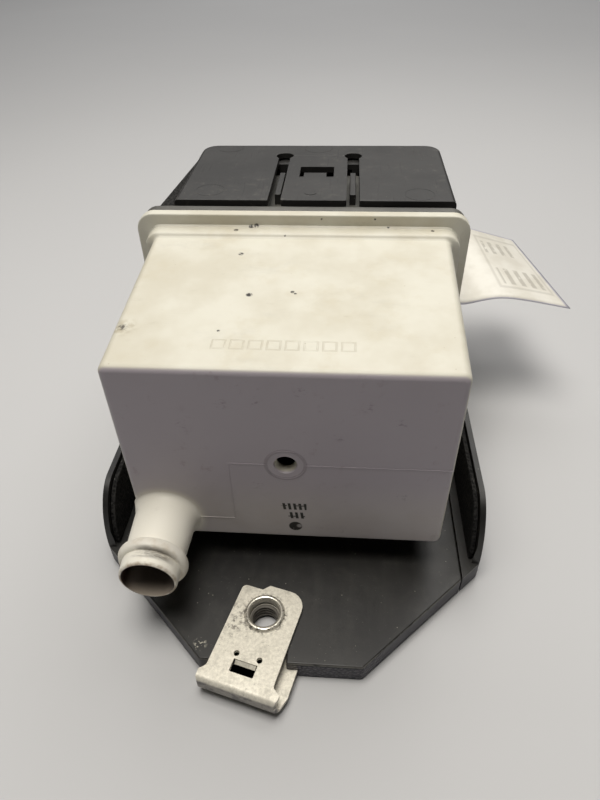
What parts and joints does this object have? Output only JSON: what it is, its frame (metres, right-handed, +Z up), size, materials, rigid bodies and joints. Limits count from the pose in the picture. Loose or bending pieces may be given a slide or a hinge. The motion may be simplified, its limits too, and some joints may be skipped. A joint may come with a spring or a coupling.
{
  "type": "automatic air vent",
  "caption": "Moulded vent box with hose spigot and flanged mouth, black latched filter cover behind it, on a foam-lined base tray with a folded steel clip nut.",
  "frame": {"origin": "middle of the base pad's underside, on the surface the vent stands on", "axes": "+Z up, +Y from the hose spigot back to the air inlet, +X to the right of the spigot's face"},
  "size_m": [0.15, 0.1833, 0.084],
  "materials": {
    "white_plastic": "satin off-white moulded plastic",
    "grey_plastic": "satin dark grey moulded plastic",
    "black_plastic": "satin black moulded plastic, faintly grained",
    "foam": "black closed-cell foam, granular",
    "rubber": "smooth black rubber",
    "filter_felt": "pale needled felt",
    "zinc_steel": "zinc plated sheet steel, scuffed",
    "spring_steel": "bright steel",
    "film": "translucent white film with pale printed bars"
  },
  "bodies": {
    "vent": {"vent_box": "white_plastic", "flange_gasket": "grey_plastic", "mouth_frame": "grey_plastic", "neck_seal": "foam", "end_cover": "black_plastic", "cover_side_seal": "foam", "inlet_grille": "black_plastic", "filter_frame": "grey_plastic", "filter_pad": "filter_felt", "valve_plate": "white_plastic", "flap_pin": "spring_steel", "valve_screw_1": "spring_steel", "valve_screw_2": "spring_steel", "valve_screw_3": "spring_steel", "valve_screw_4": "spring_steel", "base_plate": "black_plastic", "base_pad": "foam", "side_rail_left": "black_plastic", "side_rail_right": "black_plastic", "rear_rail": "black_plastic", "rail_lining_left": "foam", "rail_lining_right": "foam", "rail_lining_rear": "foam", "cover_pad": "foam", "base_screw_1": "spring_steel", "base_screw_2": "spring_steel", "base_screw_3": "spring_steel", "base_screw_4": "spring_steel", "tag": "film"},
    "flap": {"valve_flap": "black_plastic", "flap_seal": "rubber", "flap_spring": "spring_steel"},
    "latch": {"latch_tongue": "black_plastic"},
    "clip": {"spring_clip": "zinc_steel", "clip_nut": "zinc_steel"}
  },
  "joints": [
    {"name": "flap_hinge", "type": "hinge", "parent": "vent", "child": "flap", "pos_m": [0.0031, 0.024, 0.0694], "axis": [-1, 0, 0], "range_deg": [0, 60], "stiffness_Nm_per_rad": 0.0003, "springref_deg": -17.19},
    {"name": "latch_flex", "type": "hinge", "parent": "vent", "child": "latch", "pos_m": [0.0031, 0.0673, 0.08275], "axis": [-1, 0, 0], "range_deg": [0, 5], "stiffness_Nm_per_rad": 0.9},
    {"name": "clip_swivel", "type": "hinge", "parent": "vent", "child": "clip", "pos_m": [-0.0054, -0.0732, 0.0053], "axis": [0, 0, 1], "range_deg": [-8, 8]}
  ]
}
